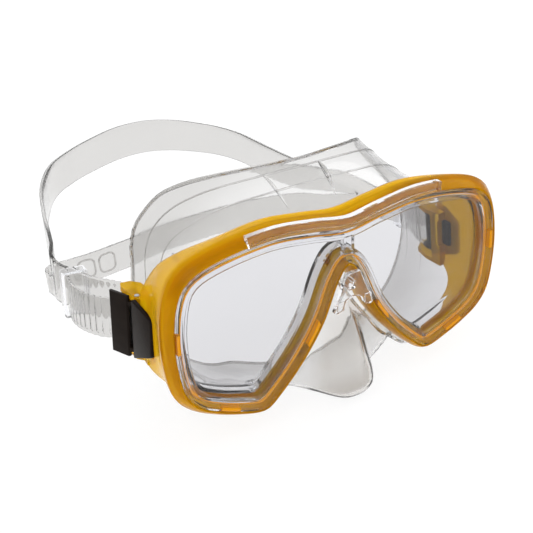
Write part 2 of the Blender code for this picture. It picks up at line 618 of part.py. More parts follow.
def main():
    clear_scene()
    looks = {
        "amber": material("amber polycarbonate", (0.80, 0.50, 0.04), 0.12, transmission=0.3),
        "clear": material("clear polycarbonate", (0.93, 0.95, 0.97), 0.06, transmission=0.9),
        "glass": material("tempered glass", (0.96, 0.97, 0.98), 0.02, transmission=1.0),
        "silicone": material("clear silicone", (0.85, 0.86, 0.87), 0.3, transmission=0.7),
        "black": material("black acetal", (0.015, 0.012, 0.011), 0.25),
        "steel": material("stainless steel", (0.62, 0.62, 0.63), 0.3, metallic=1.0),
    }

    mask = bpy.data.objects.new("mask_frame", None)
    bpy.context.scene.collection.objects.link(mask)
    mask.location = Vector((-(RIGHT_X + LEFT_X) / 2, -(NOSE_Y + REAR_Y) / 2, -FLOOR_Z)) * MM
    swivels = {}
    for word, side in SIDES:
        swivel = bpy.data.objects.new(word + "_swivel_axis", None)
        bpy.context.scene.collection.objects.link(swivel)
        swivel.parent = mask
        swivel.location = Vector((side * SWIVEL_X, SWIVEL_Y, SWIVEL_Z)) * MM
        swivel.rotation_euler = (0, -side * math.radians(SWIVEL_LEAN_DEG), 0)
        swivels[word] = swivel

    make_frame(looks["amber"], mask, swivels)
    make_lens(looks["glass"], mask)
    make_retainer(looks["clear"], mask)
    make_brow_trim(looks["clear"], mask)
    make_nose_clip(looks["clear"], mask)
    make_skirt(looks["silicone"], mask)
    for word, side in SIDES:
        make_buckle(word, side, swivels[word], looks)
    make_strap_back(looks["silicone"], mask)
    bpy.context.view_layer.update()


main()
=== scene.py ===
"""Looks of the single-lens snorkel mask: amber frame, clear ring and trim, silicone skirt and strap.

Outlines are drawn in millimetres from the centre of the lens window, as the CAD part is, and one
matrix carries them to their place in the frame. The wearer's right is -X, and the lens looks along -Y.
"""

import math

import bmesh
import bpy
import numpy as np
from mathutils import Matrix, Vector


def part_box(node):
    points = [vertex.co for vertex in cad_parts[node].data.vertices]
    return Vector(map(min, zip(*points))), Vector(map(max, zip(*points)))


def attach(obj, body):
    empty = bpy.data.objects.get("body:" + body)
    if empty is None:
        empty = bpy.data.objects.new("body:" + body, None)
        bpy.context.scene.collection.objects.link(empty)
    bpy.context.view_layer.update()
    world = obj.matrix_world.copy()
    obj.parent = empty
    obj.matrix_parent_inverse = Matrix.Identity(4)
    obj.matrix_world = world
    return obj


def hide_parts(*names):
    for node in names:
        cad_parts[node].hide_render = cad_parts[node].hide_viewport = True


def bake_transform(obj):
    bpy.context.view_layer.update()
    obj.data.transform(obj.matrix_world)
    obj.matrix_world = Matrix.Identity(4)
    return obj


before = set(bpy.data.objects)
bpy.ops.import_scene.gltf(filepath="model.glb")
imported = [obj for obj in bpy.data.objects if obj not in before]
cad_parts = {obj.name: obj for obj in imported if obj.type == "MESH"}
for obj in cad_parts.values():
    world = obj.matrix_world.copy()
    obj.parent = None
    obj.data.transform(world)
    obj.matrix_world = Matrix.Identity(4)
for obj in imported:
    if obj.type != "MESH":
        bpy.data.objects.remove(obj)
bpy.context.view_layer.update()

MM = 0.001

# ---- outlines shared with the CAD part, in millimetres ----

FLOOR_Z = -46.86
WINDOW_BROW = [(0, 32.7), (15, 35.1), (32.2, 37), (52.2, 35), (65.5, 30.5), (71.5, 21.5), (74.1, 4.2)]
WINDOW_CHEEK = [(72.7, -15.3), (67.8, -24.3), (59.9, -29.8), (50.6, -34.1), (40.8, -37)]
WINDOW_NOSE = [(34.5, -33.3), (22.6, -20.6), (12.7, -5.9), (5.6, 10.6), (0, 17.2)]
LENS_FRONT, LENS_REAR = 1.7, 4.9
LIP_FRONT, LIP_REAR, LIP_REACH = 7.1, 9.1, -3.4
FRAME_WALL = 2.2
CHEEK_RIM_REACH, NOSE_RIM_REACH = 4.0, 2.6
WAIST_BROW = [(0, 8, 37.4), (15, 8.2, 39.4), (32, 8.6, 41), (52, 9.6, 37.8), (65.8, 13, 32),
              (73.2, 17, 22.3), (74.6, 19, 4.2)]
WAIST_CHEEK = [(75.4, 18, -15), (70.8, 14, -25.4), (62, 11, -32.4), (52.2, 10, -37.2), (42.2, 9.5, -40.4)]
EDGE_BROW = [(0, 10.5, 36.6), (15, 10.8, 38.5), (32, 11.6, 39.8), (50, 13.6, 36.4), (61.8, 20.5, 30.8),
             (69, 29, 21.8), (75, 35, 5)]
EDGE_CHEEK = [(76.6, 32, -18), (72, 22, -26), (62.8, 16, -32.2), (52.6, 13, -36.9), (42.2, 12, -40)]

TRIM_INNER, TRIM_OUTER, TRIM_HALF_LENGTH = 0.3, 4.4, 43.0
TRIM_FRONT, TRIM_REAR = -2.6, 0.9
STRUT_WIDTH, STRUT_BOTTOM, STRUT_TOP = 4.6, 21.6, 29.0

SKIRT_WALL = 1.5
FACE_BROW = [(0, 32, 50), (18, 34, 50), (33, 40.5, 48), (42, 50, 43.6), (49.5, 60, 36.6), (58.6, 63.2, 26.6),
             (63.6, 61.5, 19.5), (67, 58.5, 11), (70, 57, -3)]
FACE_CHEEK = [(67.5, 55, -19), (59.5, 52, -33), (50, 50, -41.5), (42, 48, -45.2), (33, 46, -46)]
SKIRT_STAGES = (0.07, 0.14, 0.26, 0.38, 0.5, 0.64, 0.78, 0.9, 1.0)
SKIRT_LEAN, SKIRT_LEAN_FROM = 3.3, 30.0
MIDDLE_BROW = [(0, 21, 43.5), (18, 22, 43), (34, 26, 40.5), (47, 33, 34), (55.8, 38.5, 25.6), (61.8, 39, 14),
               (64.5, 38, -3)]
MIDDLE_CHEEK = [(64.5, 36, -17), (60, 33, -29), (52.5, 31, -37), (43, 30, -41.5), (35.5, 28.5, -43)]
NOSE_RINGS = [
    [(24, 8, -30.5), (13.5, 7, -16.5), (4.6, 5.6, -6), (0, 4.6, -3)],
    [(23.5, 9, -35), (13.8, 7.6, -24.5), (4.6, 0.6, -13), (0, -0.8, -12.5)],
    [(24, 10.5, -37), (14.5, 8, -32), (5.6, -3, -23), (0, -4.4, -22.5)],
    [(24.2, 13, -40), (15, 7.6, -38.5), (7, -6.4, -34), (0, -7.9, -33.5)],
    [(23.5, 17, -42.6), (14.5, 8, -43), (7, -6, -40.4), (0, -8.6, -39.8)],
    [(22, 23, -44.8), (12.6, 10.5, -45), (5.6, 0.6, -44.6), (0, -1.4, -44.4)],
]
NOSE_LIP = [(22, 38, -46.1), (13, 34, -45.7), (6, 31, -45), (0, 30, -44.6)]

SIDES = (("right", -1), ("left", 1))
SWIVEL_AT, SWIVEL_LEAN_DEG = (75.8, 37.0, -5.6), 6.0
RUNNING_GAP = 0.3
SWIVEL_PIN_R = 1.0
RAIL_INNER, RAIL_OUTER = 11.8, 14.2
PLATE_HALF = 14.0
CHEEK_INNER, CHEEK_OUTER = 9.9, 11.5
PLATE_PLAN = [(2.6, 1.6), (3.3, 1.2), (4.1, 1.35), (8.35, 8.7), (8.2, 9.3), (7.3, 9.7)]
EAR_PLAN = [(-2.2, -0.9), (-1.2, -1.8), (2.0, -1.5), (7.7, 9), (4.5, 9.6), (-2.4, 9.3), (-2.8, 5)]
LUG_PLAN = [(-6, -8), (-0.6, -8), (-0.7, -4), (1.7, -1.6), (3.3, 10), (2.6, 12.5), (-1.5, 12.5), (-5, 9.5),
            (-6.5, 2)]
SLOT_PLAN = [(-9, -2.4), (7, -2.4), (7, 14), (-9, 14)]
COVER_REAR, COVER_FRONT, COVER_TOP, COVER_BOTTOM = -2.0, -15.6, 13.9, -13.3
COVER_KNEES = (9.6, -5.4)
COVER_BASE_X, COVER_FLARE, COVER_THICK = -1.5, 0.206, 2.0
TAB_SIZE, TAB_Y, TAB_Z = (4.6, 12.4), -9.5, 3.6
STRAP_WIDTH, STRAP_THICK = 19.0, 1.6
ROLLER_AT, ROLLER_R = (0.1, 5.9), 1.9
STRAP_ENDS = {
    "right": {"inner": [(15.6, 44.3), (13.4, 41), (11.6, 36.8), (8.8, 32.4), (4.8, 27.8), (0.6, 23.4),
                        (-2.8, 19.6), (-4.2, 15.6), (-3.7, 11)],
              "tail": [(5.4, 9.2), (8.2, 11.3), (11.2, 13.6), (13.9, 17), (16.2, 21), (17.8, 26), (18.2, 31),
                       (17.6, 36), (16.7, 41.5)]},
    "left": {"inner": [(-4.3, 42), (-0.4, 34), (0.2, 26), (-1.2, 18), (-3.3, 11)],
             "tail": [(5.4, 9.2), (7.7, 13.4), (8.5, 19), (7.4, 25.5), (5.9, 31), (5.2, 36)]},
}
KEEPERS = {"right": ((14.7, 38.6), 9.0), "left": ((3.25, 31), 9.4)}
KEEPER_LENGTH, KEEPER_WALL = 5.0, 1.1
UPPER_BAND = [(-92.2, 101, 3.3, 5, 12.6), (-90.4, 112.5, 3.0, 4, 14.3), (-87, 136, 1.5, 3, 17.5),
              (-80.3, 164, 2.5, 0, 18), (-69.6, 188, 3.2, 0, 18.5), (-54.6, 203, 3.6, 0, 19),
              (-39, 213, 4, 0, 19.5), (-24, 220, 4.4, 0, 20), (-10.6, 223, 4.4, 0, 20),
              (2, 221.5, 4.2, 0, 20), (15, 213.5, 3.8, 0, 19.5), (26.5, 201, 3.2, 0, 18.5),
              (34.6, 188.5, 2.6, 0, 18), (39.6, 172, 2.4, 0, 17.8), (42.9, 143, 2.2, 0, 17.4),
              (46.5, 120, 2.2, -2, 16.6), (52.5, 104, 3.2, -4, 13.6), (59.3, 95.4, 3.2, -4, 12.6)]
LOWER_BAND = [(-95.9, 99.4, -9.8, 3, 11), (-96, 103.6, -10.4, 1, 12.2), (-92.6, 106.6, -10.6, 0, 12.8),
              (-85.4, 104.6, -9.9, 0, 13.4), (-73, 102.6, -9, 0, 14.5), (-58.4, 103.4, -8, 0, 14.5),
              (-30, 109, -8.8, 0, 15), (5, 112.5, -9.6, 0, 15), (36, 108.5, -10.2, 0, 14.6),
              (51, 102, -11.2, -2, 12.5), (59.6, 95.8, -9.9, -3, 11.4)]
SHOULDERS = {
    "right": [(-91.5, 81.6, -3.9, 6, 19), (-93.6, 85.6, -3.9, 6, 19.4), (-94.7, 90, -3.7, 5, 20.5),
              (-94.8, 94.4, -3.4, 4, 22)],
    "left": [(71.3, 79.3, -6.0, -6, 19), (69.6, 82.4, -5.4, -6, 19.4), (67.3, 86.2, -4.4, -5, 20.5),
             (64.3, 90, -3.4, -4, 22)],
}

# ---- details that only the looks have ----

RING_COUNTS = (30, 27, 27)  # pieces of a half outline over brow, cheek and nose
OUTLINE_STEPS = 12
FRAME_RING_STEPS, SKIRT_RING_STEPS = 3, 4
TRIM_PIECES = 120
MASK_MIDDLE = (0, 30, 0)
SADDLE_HALF = [(3.8, 2.7), (5.4, -1.2), (7.9, -2.2), (9.0, -1.2), (3.2, 14.5)]
SADDLE_FRONT, SADDLE_REAR, SADDLE_ARCH = -4.6, -2.5, 4.0
PANE_REACH = -2.2
RIB_PITCH, RIB_HEIGHT = 3.0, 0.8
FIN_HEIGHT = 2.6
BOSS_SPANS, BOSS_HALF_HEIGHT, BOSS_SIDE = ((40, 47), (49, 56)), 4.6, 1
SKIRT_FINS = {"right": ((5, 5, 9), (21, 3, 6)), "left": ((2, 5, 9), (21, 3, 6))}
SKIRT_RIDGES = (7, 9)
# Spans of the ring's slots, where amber blocks paint the refracted orange of the frame's lip
RING_WINDOWS = ((28, 31), (48, 52), (69, 73))
LIP_BEAD_R, RIDGE_BEAD_R, BOSS_BEAD_R, BOSS_CORNER_R = 0.95, 0.45, 0.45, 2.6

# ---- the photograph's view: from in front, above and the wearer's right ----

CAMERA_FROM_LENS = (-143.16, -216.90, 162.58)
CAMERA_RIGHT, CAMERA_UP = (0.8787, -0.4738, -0.0574), (0.2771, 0.4084, 0.8698)
CAMERA_BACK = (-0.3887, -0.7802, 0.4901)
CAMERA_LENS, CAMERA_SENSOR = 51.65, 36.0

# ---- places ----

lens_low, lens_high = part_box("lens")
ORIGIN = Vector(((lens_low.x + lens_high.x) / 2, lens_low.y - LENS_FRONT * MM, -FLOOR_Z * MM))
MASK = Matrix.Translation(ORIGIN) @ Matrix.Scale(MM, 4)


def swivel_matrix(side):
    """Carries outlines drawn round a buckle's swivel axis to their place."""
    x, y, z = SWIVEL_AT
    lean = Matrix.Rotation(-side * math.radians(SWIVEL_LEAN_DEG), 4, "Y")
    return MASK @ Matrix.Translation((side * x, y, z)) @ lean


# ---- materials ----

def new_material(name, **sockets):
    """A Principled material. Returns it with its nodes, links and shader."""
    made = bpy.data.materials.new(name)
    made.use_nodes = True
    tree = made.node_tree
    shader = tree.nodes["Principled BSDF"]
    for key, value in sockets.items():
        socket = shader.inputs[key.replace("_", " ")]
        socket.default_value = (*value, 1.0) if isinstance(value, tuple) else value
    return made, tree, shader


def noise(tree, scale, detail=3.0, stretch=(1, 1, 1)):
    """Noise over the piece's own coordinates, its scale in features per metre."""
    place = tree.nodes.new("ShaderNodeTexCoord")
    spread = tree.nodes.new("ShaderNodeMapping")
    spread.inputs["Scale"].default_value = stretch
    tree.links.new(place.outputs["Object"], spread.inputs["Vector"])
    made = tree.nodes.new("ShaderNodeTexNoise")
    made.inputs["Scale"].default_value = scale
    made.inputs["Detail"].default_value = detail
    tree.links.new(spread.outputs["Vector"], made.inputs["Vector"])
    return made.outputs["Fac"]


def ramp(tree, source, low, high):
    """A value or a colour that follows a 0 to 1 source from low to high."""
    made = tree.nodes.new("ShaderNodeValToRGB")
    for stop, value in zip(made.color_ramp.elements, (low, high)):
        stop.color = (*value, 1.0) if isinstance(value, tuple) else (value, value, value, 1.0)
    tree.links.new(source, made.inputs["Fac"])
    return made


def roughen(tree, shader, source, low, high, where=None, more=0.0):
    """Roughness that follows a source from low to high, with more of it where another source is 1."""
    made = tree.nodes.new("ShaderNodeMapRange")
    made.inputs["To Min"].default_value = low
    made.inputs["To Max"].default_value = high
    tree.links.new(source, made.inputs["Value"])
    result = made.outputs["Result"]
    if where:
        added = tree.nodes.new("ShaderNodeMath")
        added.operation = "MULTIPLY_ADD"
        added.inputs[1].default_value = more
        tree.links.new(where, added.inputs[0])
        tree.links.new(result, added.inputs[2])
        result = added.outputs["Value"]
    tree.links.new(result, shader.inputs["Roughness"])


def bump(tree, shader, source, height):
    """Bumps that follow a source, their height in metres."""
    made = tree.nodes.new("ShaderNodeBump")
    made.inputs["Strength"].default_value = 1.0
    made.inputs["Distance"].default_value = height
    tree.links.new(source, made.inputs["Height"])
    tree.links.new(made.outputs["Normal"], shader.inputs["Normal"])


def along_y(tree, start, end):
    """0 to 1 between two distances behind the lens, in millimetres."""
    place = tree.nodes.new("ShaderNodeTexCoord")
    split = tree.nodes.new("ShaderNodeSeparateXYZ")
    tree.links.new(place.outputs["Object"], split.inputs["Vector"])
    depth = tree.nodes.new("ShaderNodeMapRange")
    depth.interpolation_type = "SMOOTHSTEP"
    depth.inputs["From Min"].default_value = ORIGIN.y + start * MM
    depth.inputs["From Max"].default_value = ORIGIN.y + end * MM
    tree.links.new(split.outputs["Y"], depth.inputs["Value"])
    return depth.outputs["Result"]


def multiply(tree, first, second):
    """Two colours multiplied."""
    mixed = tree.nodes.new("ShaderNodeMix")
    mixed.data_type = "RGBA"
    mixed.blend_type = "MULTIPLY"
    mixed.inputs["Factor"].default_value = 1.0
    tree.links.new(first, mixed.inputs["A"])
    tree.links.new(second, mixed.inputs["B"])
    return mixed.outputs["Result"]


def amber_plastic():
    """Translucent amber: deep at the thick rim round the window, paler on the thin flared sides."""
    made, tree, shader = new_material("amber_plastic", IOR=1.15, Specular_IOR_Level=0.12,
                                      Transmission_Weight=0.62)
    body = ramp(tree, along_y(tree, 3.0, 7.5), (0.67, 0.32, 0.0005), (0.97, 0.6, 0.004))
    cloud = ramp(tree, noise(tree, 45, 2.0), (0.93, 0.9, 0.85), (1.0, 1.0, 1.0))
    tree.links.new(multiply(tree, body.outputs["Color"], cloud.outputs["Color"]), shader.inputs["Base Color"])
    roughen(tree, shader, noise(tree, 300), 0.1, 0.22)
    bump(tree, shader, noise(tree, 900), 0.00002)
    return made


def painted_amber_refraction():
    """Opaque amber for marks inside the clear ring, and hardly any light comes through: painted reflection,
    the orange of the frame's lip seen refracted through the ring.
    """
    made, tree, shader = new_material("painted_amber_refraction", IOR=1.2, Specular_IOR_Level=0.3)
    colour = ramp(tree, noise(tree, 90), (0.86, 0.33, 0.0005), (0.95, 0.4, 0.001))
    tree.links.new(colour.outputs["Color"], shader.inputs["Base Color"])
    roughen(tree, shader, noise(tree, 300), 0.1, 0.2)
    bump(tree, shader, noise(tree, 900), 0.00001)
    return made


def clear_plastic(name, ior):
    made, tree, shader = new_material(name, IOR=ior, Transmission_Weight=0.98)
    colour = ramp(tree, noise(tree, 120), (0.94, 0.95, 0.97), (0.99, 0.99, 1.0))
    tree.links.new(colour.outputs["Color"], shader.inputs["Base Color"])
    roughen(tree, shader, noise(tree, 500), 0.01, 0.05)
    bump(tree, shader, noise(tree, 350, 2.0), 0.00001)
    return made


def lens_glass():
    made, tree, shader = new_material("lens_glass", IOR=1.22, Transmission_Weight=1.0)
    colour = ramp(tree, noise(tree, 30), (0.74, 0.74, 0.765), (0.76, 0.76, 0.785))
    tree.links.new(colour.outputs["Color"], shader.inputs["Base Color"])
    roughen(tree, shader, noise(tree, 80), 0.0, 0.012)
    return made


def clear_silicone():
    """Clear at the thin wall beside the lens, a little greyer over the skirt's edge, the strap and the
    nose pocket."""
    made, tree, shader = new_material("clear_silicone", IOR=1.27, Transmission_Weight=0.975)
    body = ramp(tree, along_y(tree, 14, 45), (0.91, 0.907, 0.905), (0.73, 0.722, 0.71))
    cloud = ramp(tree, noise(tree, 60), (0.95, 0.95, 0.95), (1.0, 1.0, 1.0))
    pocket = ramp(tree, along_y(tree, -2, 12), (0.84, 0.82, 0.795), (1.0, 1.0, 1.0))
    tinted = multiply(tree, body.outputs["Color"], pocket.outputs["Color"])
    tree.links.new(multiply(tree, tinted, cloud.outputs["Color"]), shader.inputs["Base Color"])
    roughen(tree, shader, noise(tree, 220), 0.04, 0.09, along_y(tree, 30, 60), 0.06)
    bump(tree, shader, noise(tree, 600, 3.0), 0.00001)
    return made


def black_plastic():
    made, tree, shader = new_material("black_plastic", IOR=1.25, Specular_IOR_Level=0.15)
    colour = ramp(tree, noise(tree, 250), (0.008, 0.005, 0.004), (0.018, 0.013, 0.01))
    tree.links.new(colour.outputs["Color"], shader.inputs["Base Color"])
    roughen(tree, shader, noise(tree, 700), 0.14, 0.3)
    bump(tree, shader, noise(tree, 2600, 4.0), 0.00003)
    return made


def steel():
    made, tree, shader = new_material("steel", Metallic=1.0)
    brushed = noise(tree, 400, 4.0, (8, 8, 0.3))
    colour = ramp(tree, brushed, (0.38, 0.38, 0.39), (0.58, 0.58, 0.59))
    tree.links.new(colour.outputs["Color"], shader.inputs["Base Color"])
    roughen(tree, shader, brushed, 0.2, 0.4)
    bump(tree, shader, brushed, 0.00002)
    return made


LOOKS = {
    "amber_plastic": amber_plastic(),
    "painted_amber_refraction": painted_amber_refraction(),
    "clear_plastic": clear_plastic("clear_plastic", 1.42),
    "clear_ring": clear_plastic("clear_ring", 1.14),
    "clear_trim": clear_plastic("clear_trim", 1.28),
    "lens_glass": lens_glass(),
    "clear_silicone": clear_silicone(),
    "black_plastic": black_plastic(),
    "steel": steel(),
}


# ---- curves ----

def catmull_rom(points, steps):
    """Smooth line or surface rows through points; steps pieces between each pair."""
    p = np.asarray(points, float)
    line = []
    for i in range(1, len(p) - 2):
        for t in np.arange(steps) / steps:
            line.append(0.5 * (2 * p[i] + (p[i + 1] - p[i - 1]) * t
                               + (2 * p[i - 1] - 5 * p[i] + 4 * p[i + 1] - p[i + 2]) * t ** 2
                               + (3 * p[i] - p[i - 1] - 3 * p[i + 1] + p[i + 2]) * t ** 3))
    line.append(p[-2])
    return np.array(line)


def smooth_through(points, steps):
    """A smooth line that starts and ends at the given points."""
    p = [np.asarray(q, float) for q in points]
    return catmull_rom([2 * p[0] - p[1]] + p + [2 * p[-1] - p[-2]], steps)


def resample(line, count):
    line = np.asarray(line, float)
    run = np.concatenate([[0], np.cumsum(np.linalg.norm(np.diff(line, axis=0), axis=1))])
    at = np.linspace(0, run[-1], count + 1)
    return np.stack([np.interp(at, run, line[:, k]) for k in range(line.shape[1])], axis=1)


def symmetric_line(points):
    """Smooth half line whose first and last points lie on the mirror plane X = 0."""
    p = np.asarray(points, float)
    flip = np.array([-1, 1, 1])
    return catmull_rom(np.vstack([p[1] * flip, p, p[-2] * flip]), OUTLINE_STEPS)


def split_resample(line, corners):
    """A half outline with the same number of points on brow, cheek and nose every time."""
    parts = [line[:corners[0] + 1], line[corners[0]:corners[1] + 1], line[corners[1]:]]
    rows = [resample(part, count)[:-1] for part, count in zip(parts, RING_COUNTS)]
    return np.vstack(rows + [line[-1:]])


def corner_places(brow, cheek):
    """Where a smooth half outline passes from brow to cheek and from cheek to nose."""
    return (len(brow) - 1) * OUTLINE_STEPS, (len(brow) + len(cheek) - 1) * OUTLINE_STEPS


def half_from_points(brow, cheek, nose):
    line = symmetric_line(list(brow) + list(cheek) + list(nose))
    return split_resample(line, corner_places(brow, cheek))


def window_line(reach, nose_reach):
    """The window's half outline moved outwards, by another distance beside the nose."""
    flat = [(x, 0, z) for x, z in WINDOW_BROW + WINDOW_CHEEK + WINDOW_NOSE]
    line = symmetric_line(flat)
    along = np.gradient(line, axis=0)
    along /= np.linalg.norm(along, axis=1)[:, None]
    outwards = np.stack([-along[:, 2], 0 * along[:, 0], along[:, 0]], axis=1)
    corners = corner_places(WINDOW_BROW, WINDOW_CHEEK)
    past = np.clip((np.arange(len(line)) - corners[1]) / OUTLINE_STEPS + 0.5, 0, 1)
    amount = reach + (nose_reach - reach) * past
    moved = line + outwards * amount[:, None]
    crossed = np.nonzero(moved[corners[1]:, 0] < 0)[0]
    if len(crossed):
        last = corners[1] + crossed[0]
        inside, outside = moved[last - 1], moved[last]
        share = inside[0] / (inside[0] - outside[0])
        moved = np.vstack([moved[:last], inside + (outside - inside) * share])
    moved[0, 0] = moved[-1, 0] = 0
    return moved, corners


def window_half(y, reach, nose_reach=None):
    """The moved window outline as a half ring at one depth."""
    line, corners = window_line(reach, reach if nose_reach is None else nose_reach)
    half = split_resample(line, corners)
    half[:, 1] = y
    return half


def half_beside_nose(brow, cheek, nose_y):
    """A half ring through brow and cheek points that keeps the rim's own line beside the nose."""
    nose = window_half(nose_y, CHEEK_RIM_REACH, NOSE_RIM_REACH)[-RING_COUNTS[2]:]
    line = half_from_points(brow, cheek, nose)
    return np.vstack([line[:-RING_COUNTS[2]], nose])


def inset(half, amount):
    """A half ring moved towards the inside, in the plane across Y."""
    along = np.gradient(half, axis=0)
    along[:, 1] = 0
    along[0], along[-1] = (1, 0, 0), (-1, 0, 0)
    along /= np.linalg.norm(along, axis=1)[:, None]
    return half - np.stack([-along[:, 2], 0 * along[:, 0], along[:, 0]], axis=1) * amount


def whole(half):
    """A half ring and its mirror image, as one closed ring."""
    return np.vstack([half, half[-2:0:-1] * (-1, 1, 1)])


def blend_rings(rings, steps=FRAME_RING_STEPS):
    """More rings between the given ones, on smooth lines from ring to ring."""
    return list(smooth_through(rings, steps))


def round_edge(outer, inner, push):
    """Rings that carry one edge over to another on a round nose, push deep along +Y."""
    middle, half = (outer + inner) / 2, (outer - inner) / 2
    turn = np.linspace(0, math.pi, 6)[1:-1]
    return [middle + half * math.cos(a) + np.array([0, push * math.sin(a), 0]) for a in turn]


# ---- meshes ----

def finish_mesh(name, work, smooth_deg):
    bmesh.ops.recalc_face_normals(work, faces=work.faces)
    mesh = bpy.data.meshes.new(name)
    work.to_mesh(mesh)
    work.free()
    mesh.shade_smooth()
    mesh.set_sharp_from_angle(angle=math.radians(smooth_deg))
    return mesh


def loft(name, rings, rings_closed=False, capped=False, where=MASK, smooth_deg=35):
    """Faces between successive rings of equal length. where carries them to their place."""
    work = bmesh.new()
    rows = [[work.verts.new(where @ Vector(p)) for p in ring] for ring in rings]
    pairs = list(zip(rows, rows[1:] + rows[:1])) if rings_closed else list(zip(rows, rows[1:]))
    for low, high in pairs:
        count = len(low)
        for i in range(count):
            j = (i + 1) % count
            work.faces.new((low[i], low[j], high[j], high[i]))
    if capped:
        work.faces.new(rows[0])
        work.faces.new(rows[-1])
    return finish_mesh(name, work, smooth_deg)


def prism(name, outline, low, high, where):
    """An outline in X and Y, drawn from one Z to another."""
    rings = [[(x, y, z) for x, y in outline] for z in (low, high)]
    return loft(name, rings, capped=True, where=where)


def cylinder(name, radius, low, high, where):
    turn = [2 * math.pi * k / 32 for k in range(32)]
    return prism(name, [(radius * math.cos(a), radius * math.sin(a)) for a in turn], low, high, where)


def add(name, mesh, look):
    """A new object. One without a look is only a cutter."""
    made = bpy.data.objects.new(name, mesh)
    bpy.context.scene.collection.objects.link(made)
    if look:
        mesh.materials.clear()
        mesh.materials.append(LOOKS[look])
    return made


def settle(piece, smooth_deg=35):
    """Turns a piece's modifiers into its mesh, and removes the cutters they used."""
    cutters = [step.object for step in piece.modifiers if step.type == "BOOLEAN"]
    seen = piece.evaluated_get(bpy.context.evaluated_depsgraph_get())
    mesh = bpy.data.meshes.new_from_object(seen)
    piece.modifiers.clear()
    piece.data = mesh
    mesh.shade_smooth()
    mesh.set_sharp_from_angle(angle=math.radians(smooth_deg))
    for cutter in cutters:
        bpy.data.objects.remove(cutter)
    return piece


def boolean(piece, mesh, operation):
    step = piece.modifiers.new(mesh.name, "BOOLEAN")
    step.object = add(mesh.name, mesh, None)
    step.operation = operation
    step.solver = "EXACT"


def bevel(piece, width, segments=2, angle_deg=30):
    step = piece.modifiers.new("edges", "BEVEL")
    step.width = width * MM
    step.segments = segments
    step.limit_method = "ANGLE"
    step.angle_limit = math.radians(angle_deg)
    return piece


def solidify(piece, amount):
    step = piece.modifiers.new("wall", "SOLIDIFY")
    step.thickness = amount * MM
    step.offset = 0
    return piece


def join(name, meshes, look):
    """One piece made of several closed meshes."""
    work = bmesh.new()
    for mesh in meshes:
        work.from_mesh(mesh)
        bpy.data.meshes.remove(mesh)
    return add(name, finish_mesh(name, work, 40), look)


def mirrored(outline, side):
    return [(x * side, *rest) for x, *rest in outline]


def bead(name, line, radius, closed=False, taper=False):
    """A round bead along a line of points, thinner towards its ends if it tapers."""
    line = np.asarray(line, float)
    along = np.roll(line, -1, 0) - np.roll(line, 1, 0) if closed else np.gradient(line, axis=0)
    along /= np.linalg.norm(along, axis=1)[:, None]
    rings = []
    for k, (p, t) in enumerate(zip(line, along)):
        side_way = np.cross(t, (0.31, 0.2, 0.93))
        side_way /= np.linalg.norm(side_way)
        up = np.cross(side_way, t)
        size = radius * (math.sin(math.pi * (k + 0.5) / len(line)) if taper else 1)
        turn = 2 * math.pi * np.arange(8) / 8
        rings.append([p + size * (side_way * math.cos(a) + up * math.sin(a)) for a in turn])
    return loft(name, rings, rings_closed=closed, capped=not closed)


# ---- front of the mask ----

def frame_rings():
    waist = half_beside_nose(WAIST_BROW, WAIST_CHEEK, LIP_REAR - 1.6)
    edge = half_beside_nose(EDGE_BROW, EDGE_CHEEK, LIP_REAR)
    rim = [window_half(-1.4, 0.35), window_half(-1.4, 0.6), window_half(0.4, 2.1, 1.6),
           window_half(2.6, 3.3, 2.3), window_half(5.0, CHEEK_RIM_REACH, NOSE_RIM_REACH)]
    outside = blend_rings(rim[1:] + [waist, edge])
    edge_inside, waist_inside = inset(edge, FRAME_WALL), inset(waist, FRAME_WALL)
    inside = blend_rings([edge_inside, waist_inside, window_half(LIP_REAR, 0.6)])
    lip = [window_half(LIP_REAR, LIP_REACH + 0.4), window_half(LIP_REAR - 0.4, LIP_REACH),
           window_half(LIP_FRONT + 0.4, LIP_REACH), window_half(LIP_FRONT, LIP_REACH + 0.4),
           window_half(LIP_FRONT, 0), window_half(-1.1, 0)]
    return rim[:1] + outside + round_edge(edge, edge_inside, 0.5) + inside + lip


def cover_mesh(name, side, grow, thick, where):
    """Cover in front of the buckle, lying on the flared side of the frame, with cut corners in front."""
    high, low = COVER_KNEES
    shape = [(COVER_REAR + grow, COVER_TOP + grow), (COVER_REAR + grow, COVER_BOTTOM - grow),
             (COVER_FRONT + 1.2 - grow, low - 1.4 - grow), (COVER_FRONT - grow, low),
             (COVER_FRONT - grow, high), (COVER_FRONT + 1.2 - grow, high + 1.2 + grow)]
    rings = []
    for lift in (COVER_BASE_X - grow, COVER_BASE_X + thick):
        rings.append([(side * ((y - COVER_FRONT) * COVER_FLARE + lift), y, z) for y, z in shape])
    return loft(name, rings, capped=True, where=where)


def tab_mesh(name, side, grow, deep, where):
    """Snap tab from the cover through the frame's side."""
    half_y, half_z = TAB_SIZE[0] / 2 + grow, TAB_SIZE[1] / 2 + grow
    outer = COVER_BASE_X + (TAB_Y - COVER_FRONT) * COVER_FLARE + 0.6
    plan = [(side * (outer - deep), TAB_Y - half_y), (side * outer, TAB_Y - half_y),
            (side * outer, TAB_Y + half_y), (side * (outer - deep), TAB_Y + half_y)]
    return prism(name, plan, TAB_Z - half_z, TAB_Z + half_z, where)


def trim_line(half_length, reach):
    """The brow line between two equal distances from the middle, from the wearer's right to the left."""
    line = window_line(reach, 0)[0]
    line = line[(line[:, 2] > 25) & (line[:, 0] <= half_length)]
    return resample(np.vstack([line[:0:-1] * (-1, 1, 1), line]), TRIM_PIECES)


def strip_mesh(name, half_length, section):
    """A strip along the brow. section gives (reach, y) corners at a share of the length."""
    lines = {}
    rings = []
    for k in range(TRIM_PIECES + 1):
        ring = []
        for reach, y in section(k / TRIM_PIECES):
            if reach not in lines:
                lines[reach] = trim_line(half_length, reach)
            place = lines[reach][k]
            ring.append((place[0], y, place[2]))
        rings.append(ring)
    return loft(name, rings, capped=True)


